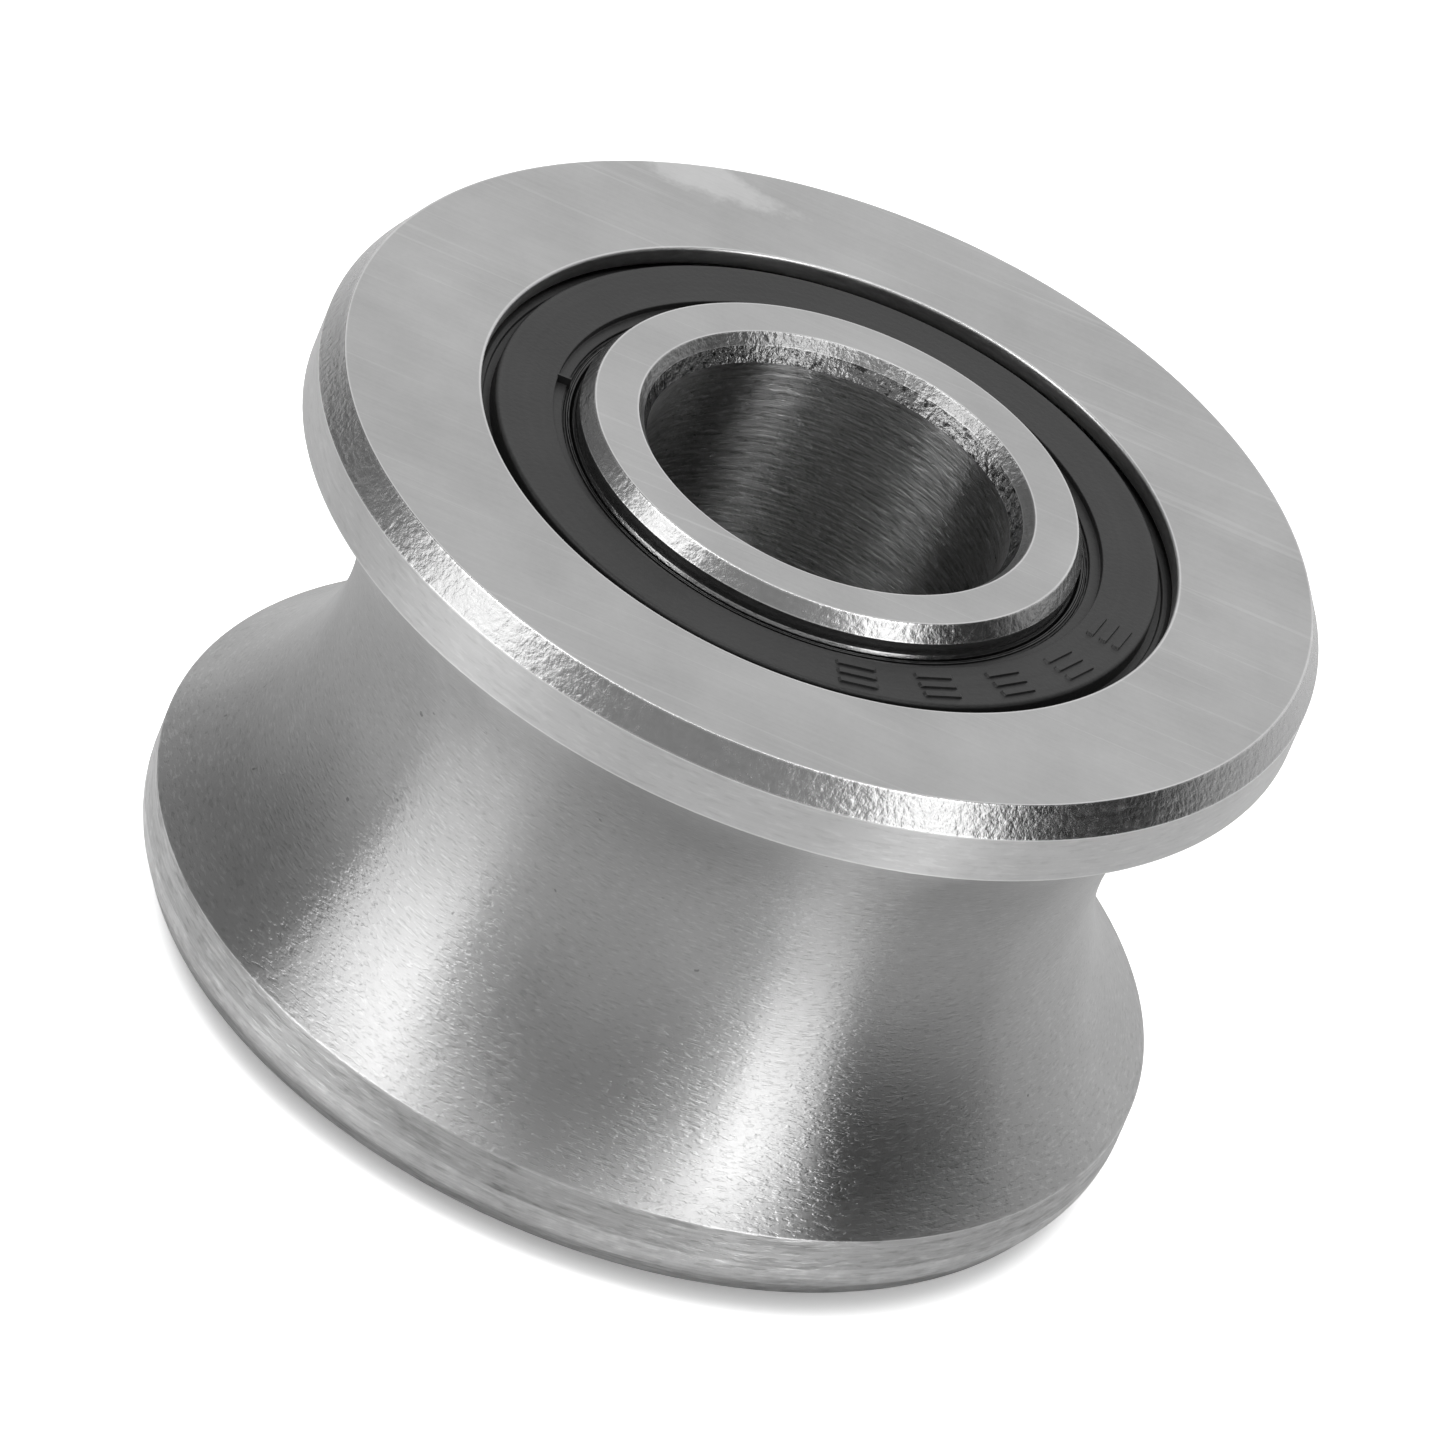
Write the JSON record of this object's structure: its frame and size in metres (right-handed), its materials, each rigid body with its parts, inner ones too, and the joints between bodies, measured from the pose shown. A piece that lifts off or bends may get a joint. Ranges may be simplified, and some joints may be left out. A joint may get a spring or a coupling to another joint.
{
  "type": "track roller",
  "caption": "Sealed double-row ball track roller (studless cam follower) with a round U-groove in its thick outer ring, for running on a round rail.",
  "frame": {"origin": "centre of the bore, midway between the two faces of the inner ring", "axes": "+Z along the bore axis, towards the front face; X and Y across the bearing, with +X through the centre of the front row's first ball"},
  "size_m": [0.022, 0.022, 0.014],
  "materials": {
    "outer_ring_steel": "satin",
    "inner_ring_steel": "satin",
    "seal_rubber": "matte",
    "insert_steel": "satin",
    "cage_nylon": "matte",
    "ball_steel": "polished"
  },
  "bodies": {
    "inner_ring": {"inner_ring": "inner_ring_steel"},
    "roller": {"outer_ring": "outer_ring_steel", "front_seal_rubber": "seal_rubber", "front_seal_insert": "insert_steel", "rear_seal_rubber": "seal_rubber", "rear_seal_insert": "insert_steel"},
    "front_cage": {"front_cage": "cage_nylon"},
    "front_ball_01": {"front_ball_01": "ball_steel"},
    "front_ball_02": {"front_ball_02": "ball_steel"},
    "front_ball_03": {"front_ball_03": "ball_steel"},
    "front_ball_04": {"front_ball_04": "ball_steel"},
    "front_ball_05": {"front_ball_05": "ball_steel"},
    "front_ball_06": {"front_ball_06": "ball_steel"},
    "front_ball_07": {"front_ball_07": "ball_steel"},
    "front_ball_08": {"front_ball_08": "ball_steel"},
    "front_ball_09": {"front_ball_09": "ball_steel"},
    "front_ball_10": {"front_ball_10": "ball_steel"},
    "rear_cage": {"rear_cage": "cage_nylon"},
    "rear_ball_01": {"rear_ball_01": "ball_steel"},
    "rear_ball_02": {"rear_ball_02": "ball_steel"},
    "rear_ball_03": {"rear_ball_03": "ball_steel"},
    "rear_ball_04": {"rear_ball_04": "ball_steel"},
    "rear_ball_05": {"rear_ball_05": "ball_steel"},
    "rear_ball_06": {"rear_ball_06": "ball_steel"},
    "rear_ball_07": {"rear_ball_07": "ball_steel"},
    "rear_ball_08": {"rear_ball_08": "ball_steel"},
    "rear_ball_09": {"rear_ball_09": "ball_steel"},
    "rear_ball_10": {"rear_ball_10": "ball_steel"}
  },
  "joints": [
    {"name": "roller_spin", "type": "hinge", "parent": "inner_ring", "child": "roller", "pos_m": [0, 0, 0], "axis": [0, 0, 1], "continuous": true},
    {"name": "front_cage_spin", "type": "hinge", "parent": "inner_ring", "child": "front_cage", "pos_m": [0, 0, 0], "axis": [0, 0, 1], "continuous": true},
    {"name": "front_ball_01_spin", "type": "hinge", "parent": "front_cage", "child": "front_ball_01", "pos_m": [0.00637, 0, 0.0029], "axis": [0, 0, 1], "continuous": true},
    {"name": "front_ball_02_spin", "type": "hinge", "parent": "front_cage", "child": "front_ball_02", "pos_m": [0.00515, 0.00374, 0.0029], "axis": [0, 0, 1], "continuous": true},
    {"name": "front_ball_03_spin", "type": "hinge", "parent": "front_cage", "child": "front_ball_03", "pos_m": [0.00197, 0.00606, 0.0029], "axis": [0, 0, 1], "continuous": true},
    {"name": "front_ball_04_spin", "type": "hinge", "parent": "front_cage", "child": "front_ball_04", "pos_m": [-0.00197, 0.00606, 0.0029], "axis": [0, 0, 1], "continuous": true},
    {"name": "front_ball_05_spin", "type": "hinge", "parent": "front_cage", "child": "front_ball_05", "pos_m": [-0.00515, 0.00374, 0.0029], "axis": [0, 0, 1], "continuous": true},
    {"name": "front_ball_06_spin", "type": "hinge", "parent": "front_cage", "child": "front_ball_06", "pos_m": [-0.00637, 0, 0.0029], "axis": [0, 0, 1], "continuous": true},
    {"name": "front_ball_07_spin", "type": "hinge", "parent": "front_cage", "child": "front_ball_07", "pos_m": [-0.00515, -0.00374, 0.0029], "axis": [0, 0, 1], "continuous": true},
    {"name": "front_ball_08_spin", "type": "hinge", "parent": "front_cage", "child": "front_ball_08", "pos_m": [-0.00197, -0.00606, 0.0029], "axis": [0, 0, 1], "continuous": true},
    {"name": "front_ball_09_spin", "type": "hinge", "parent": "front_cage", "child": "front_ball_09", "pos_m": [0.00197, -0.00606, 0.0029], "axis": [0, 0, 1], "continuous": true},
    {"name": "front_ball_10_spin", "type": "hinge", "parent": "front_cage", "child": "front_ball_10", "pos_m": [0.00515, -0.00374, 0.0029], "axis": [0, 0, 1], "continuous": true},
    {"name": "rear_cage_spin", "type": "hinge", "parent": "inner_ring", "child": "rear_cage", "pos_m": [0, 0, 0], "axis": [0, 0, 1], "continuous": true},
    {"name": "rear_ball_01_spin", "type": "hinge", "parent": "rear_cage", "child": "rear_ball_01", "pos_m": [0.00606, 0.00197, -0.0029], "axis": [0, 0, 1], "continuous": true},
    {"name": "rear_ball_02_spin", "type": "hinge", "parent": "rear_cage", "child": "rear_ball_02", "pos_m": [0.00374, 0.00515, -0.0029], "axis": [0, 0, 1], "continuous": true},
    {"name": "rear_ball_03_spin", "type": "hinge", "parent": "rear_cage", "child": "rear_ball_03", "pos_m": [0, 0.00637, -0.0029], "axis": [0, 0, 1], "continuous": true},
    {"name": "rear_ball_04_spin", "type": "hinge", "parent": "rear_cage", "child": "rear_ball_04", "pos_m": [-0.00374, 0.00515, -0.0029], "axis": [0, 0, 1], "continuous": true},
    {"name": "rear_ball_05_spin", "type": "hinge", "parent": "rear_cage", "child": "rear_ball_05", "pos_m": [-0.00606, 0.00197, -0.0029], "axis": [0, 0, 1], "continuous": true},
    {"name": "rear_ball_06_spin", "type": "hinge", "parent": "rear_cage", "child": "rear_ball_06", "pos_m": [-0.00606, -0.00197, -0.0029], "axis": [0, 0, 1], "continuous": true},
    {"name": "rear_ball_07_spin", "type": "hinge", "parent": "rear_cage", "child": "rear_ball_07", "pos_m": [-0.00374, -0.00515, -0.0029], "axis": [0, 0, 1], "continuous": true},
    {"name": "rear_ball_08_spin", "type": "hinge", "parent": "rear_cage", "child": "rear_ball_08", "pos_m": [0, -0.00637, -0.0029], "axis": [0, 0, 1], "continuous": true},
    {"name": "rear_ball_09_spin", "type": "hinge", "parent": "rear_cage", "child": "rear_ball_09", "pos_m": [0.00374, -0.00515, -0.0029], "axis": [0, 0, 1], "continuous": true},
    {"name": "rear_ball_10_spin", "type": "hinge", "parent": "rear_cage", "child": "rear_ball_10", "pos_m": [0.00606, -0.00197, -0.0029], "axis": [0, 0, 1], "continuous": true}
  ],
  "couplings": [
    {"joint": "front_cage_spin", "follows": "roller_spin", "ratio": 0.59345},
    {"joint": "front_ball_01_spin", "follows": "roller_spin", "ratio": 2.5819},
    {"joint": "front_ball_02_spin", "follows": "roller_spin", "ratio": 2.5819},
    {"joint": "front_ball_03_spin", "follows": "roller_spin", "ratio": 2.5819},
    {"joint": "front_ball_04_spin", "follows": "roller_spin", "ratio": 2.5819},
    {"joint": "front_ball_05_spin", "follows": "roller_spin", "ratio": 2.5819},
    {"joint": "front_ball_06_spin", "follows": "roller_spin", "ratio": 2.5819},
    {"joint": "front_ball_07_spin", "follows": "roller_spin", "ratio": 2.5819},
    {"joint": "front_ball_08_spin", "follows": "roller_spin", "ratio": 2.5819},
    {"joint": "front_ball_09_spin", "follows": "roller_spin", "ratio": 2.5819},
    {"joint": "front_ball_10_spin", "follows": "roller_spin", "ratio": 2.5819},
    {"joint": "rear_cage_spin", "follows": "roller_spin", "ratio": 0.59345},
    {"joint": "rear_ball_01_spin", "follows": "roller_spin", "ratio": 2.5819},
    {"joint": "rear_ball_02_spin", "follows": "roller_spin", "ratio": 2.5819},
    {"joint": "rear_ball_03_spin", "follows": "roller_spin", "ratio": 2.5819},
    {"joint": "rear_ball_04_spin", "follows": "roller_spin", "ratio": 2.5819},
    {"joint": "rear_ball_05_spin", "follows": "roller_spin", "ratio": 2.5819},
    {"joint": "rear_ball_06_spin", "follows": "roller_spin", "ratio": 2.5819},
    {"joint": "rear_ball_07_spin", "follows": "roller_spin", "ratio": 2.5819},
    {"joint": "rear_ball_08_spin", "follows": "roller_spin", "ratio": 2.5819},
    {"joint": "rear_ball_09_spin", "follows": "roller_spin", "ratio": 2.5819},
    {"joint": "rear_ball_10_spin", "follows": "roller_spin", "ratio": 2.5819}
  ]
}
